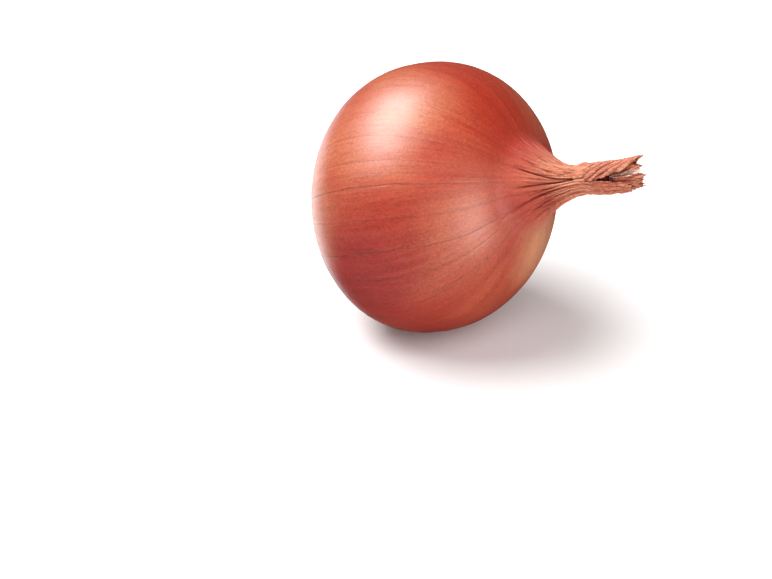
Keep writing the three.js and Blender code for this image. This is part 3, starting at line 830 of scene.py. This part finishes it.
def makeRootMaterial(name):
    material, tree, shader = newMaterial(name)
    here = link(tree, "ShaderNodeTexCoord").outputs["Object"]
    furrow = markOf(tree, "furrow", "Fac")
    cloud = cloudNoise(tree, here, rootFinish["cloudScale"], 4.0, 0.5)
    fine = cloudNoise(tree, here, rootFinish["fineScale"], 3.0, 0.5)
    dark = rootFinish["dark"]
    colour = mixColour(tree, ease(tree, cloud, 0.35, 0.65), rootFinish["straw"], rootFinish["brown"])
    colour = mixColour(tree, ease(tree, fine, 0.5, 0.75, 0, rootFinish["darkSpots"]), colour, dark)
    # Painted shade in the plate's lower spots.
    colour = mixColour(tree, ease(tree, furrow, 0, 0.5, 0, rootFinish["furrow"]), colour, dark)
    tree.links.new(colour, shader.inputs["Base Color"])
    tree.links.new(ease(tree, fine, 0.3, 0.7, *rootFinish["roughness"]), shader.inputs["Roughness"])
    addBump(tree, shader, fine, rootFinish["relief"], rootFinish["reliefHeight"] * mm)
    return material


spreadVeins()
bulbMaterial = makeSkin("onionSkin")
makeBulb(bulbMaterial)
print("bulb and neck made")

for name, leaf in leaves.items():
    makeLeaf(name, leaf, bulbMaterial, ["bulb"])
papers = {name: makePaper(name + "Paper", shades) for name, shades in paper.items()}
tipPaper = {"whiteTip": "white", "orangeTip": "orange"}  # the others are reddish
for name, tip in tips.items():
    makeLeaf(name, tip, papers[tipPaper.get(name, "reddish")], ["inner_leaf_tips"])
print("torn leaves and inner tips made")

rootMaterial = makeRootMaterial("driedRoot")
makeRootPlate(rootMaterial)
makeRoots(rootMaterial)
print("root end made")


# Camera: where the photograph was taken from. bulbAt is where the bulb's middle falls in its frame.
photo = {
    "azimuth": 28, "elevation": 30, "lens": 900, "pixelsPerMm": 3.62, "frame": (772, 579),
    "bulbAt": (434, 196),
}
azimuth = math.radians(photo["azimuth"])
elevation = math.radians(photo["elevation"])
toRight = Vector((math.cos(azimuth), math.sin(azimuth), 0))
toFront = Vector((math.sin(azimuth), -math.cos(azimuth), 0))
toCamera = toFront * math.cos(elevation) + Vector((0, 0, math.sin(elevation)))
toTop = toCamera.cross(toRight)
centre = Vector(lie["bulbCentre"]) * mm


def makeCamera():
    data = bpy.data.cameras.new("photoCamera")
    data.lens = photo["lens"]
    data.clip_start = 0.01
    width, high = photo["frame"]
    pixel = mm / photo["pixelsPerMm"]
    away = data.lens / data.sensor_width * width * pixel
    asideRight = (photo["bulbAt"][0] - width / 2) * pixel
    asideUp = (high / 2 - photo["bulbAt"][1]) * pixel
    camera = bpy.data.objects.new("photoCamera", data)
    bpy.context.collection.objects.link(camera)
    facing = Matrix((toRight, toTop, toCamera)).transposed().to_4x4()
    place = centre - toRight * asideRight - toTop * asideUp + toCamera * away
    camera.matrix_world = Matrix.Translation(place) @ facing
    bpy.context.scene.camera = camera


# Lights. towards is the direction from the onion as the camera sees it: right, up and towards the camera.
# A lamp's width lies along the picture's width, and roll turns it from there.
lights = {
    "keyBox": {
        "towards": (-0.485, 0.82, 0.25), "away": 0.9, "size": (0.62, 1.08), "roll": -22,
        "power": 16, "glossy": True},
    "fillBox": {
        "towards": (0.38, 0.12, 0.92), "away": 1.5, "size": (2, 2), "roll": 0,
        "power": 27, "glossy": False},
}
# Pale cards in the dim studio round it: the middle and the long direction of each, and its half length and
# half width as sines of the angle that they take up.
cards = {
    "rimCard": {
        "towards": (-0.47, 0.0, -0.88), "along": (0, 1, 0), "half": (0.25, 0.3), "edge": 0.07,
        "light": 3.3},
    "sideCard": {
        "towards": (0.76, -0.36, 0.52), "along": (-0.11, -0.88, -0.46), "half": (0.3, 0.18), "edge": 0.1,
        "light": 6.4},
}
surroundings = {
    "world": 0.05, "backdrop": 0.9, "tone": (1, 0.99, 0.98),
    "floor": 0.93, "floorRoughness": 0.9, "floorSize": 8, "floorDrop": 0.02,  # the drop is in millimetres
}


def lookFrom(towards):
    right, up, near = towards
    return (toRight * right + toTop * up + toCamera * near).normalized()


def dotWith(tree, vector, axis):
    return link(tree, "ShaderNodeVectorMath", {0: vector, 1: axis}, operation="DOT_PRODUCT").outputs["Value"]


def makeLamps():
    for name, light in lights.items():
        data = bpy.data.lights.new(name, "AREA")
        data.shape = "RECTANGLE"
        data.size, data.size_y = light["size"]
        data.energy = light["power"]
        lamp = bpy.data.objects.new(name, data)
        lamp.visible_glossy = light["glossy"]
        bpy.context.collection.objects.link(lamp)
        towards = lookFrom(light["towards"])
        width = (toRight - towards * toRight.dot(towards)).normalized()
        facing = Matrix((width, towards.cross(width), towards)).transposed().to_4x4()
        roll = Matrix.Rotation(math.radians(light["roll"]), 4, "Z")
        lamp.matrix_world = Matrix.Translation(centre + towards * light["away"]) @ facing @ roll


def makeStudio():
    world = bpy.data.worlds.new("studio")
    world.use_nodes = True
    tree = world.node_tree
    sky = link(tree, "ShaderNodeTexCoord").outputs["Generated"]
    light = surroundings["world"]
    for card in cards.values():
        middle = lookFrom(card["towards"])
        length = lookFrom(card["along"])
        length = (length - middle * middle.dot(length)).normalized()
        shape = ease(tree, dotWith(tree, sky, middle), 0, 0.1, 0, card["light"])  # on its own side of the sky
        for axis, half in zip((length, middle.cross(length)), card["half"]):
            off = calc(tree, "ABSOLUTE", dotWith(tree, sky, axis))
            shape = times(tree, shape, ease(tree, off, half + card["edge"], half - card["edge"]))
        light = plus(tree, shape, light)
    seen = link(tree, "ShaderNodeLightPath").outputs["Is Camera Ray"]
    light = calc(tree, "MULTIPLY_ADD", seen, calc(tree, "SUBTRACT", surroundings["backdrop"], light), light)
    tree.nodes["Background"].inputs["Color"].default_value = (*surroundings["tone"], 1)
    tree.links.new(light, tree.nodes["Background"].inputs["Strength"])
    bpy.context.scene.world = world
    bpy.context.scene.view_settings.view_transform = "Standard"


def makeFloor():
    shape = bmesh.new()
    bmesh.ops.create_grid(shape, x_segments=1, y_segments=1, size=surroundings["floorSize"] / 2)
    bmesh.ops.translate(shape, verts=shape.verts[:], vec=(0, 0, -surroundings["floorDrop"] * mm))
    mesh = bpy.data.meshes.new("floor")
    shape.to_mesh(mesh)
    shape.free()
    material, _, shader = newMaterial("paleFloor")
    white = surroundings["floor"]
    shader.inputs["Base Color"].default_value = (white, white, white, 1)
    shader.inputs["Roughness"].default_value = surroundings["floorRoughness"]
    mesh.materials.append(material)
    floor = bpy.data.objects.new("floor", mesh)
    floor.visible_glossy = False
    bpy.context.collection.objects.link(floor)


makeCamera()
makeLamps()
makeStudio()
makeFloor()
print("camera, lights and floor made")
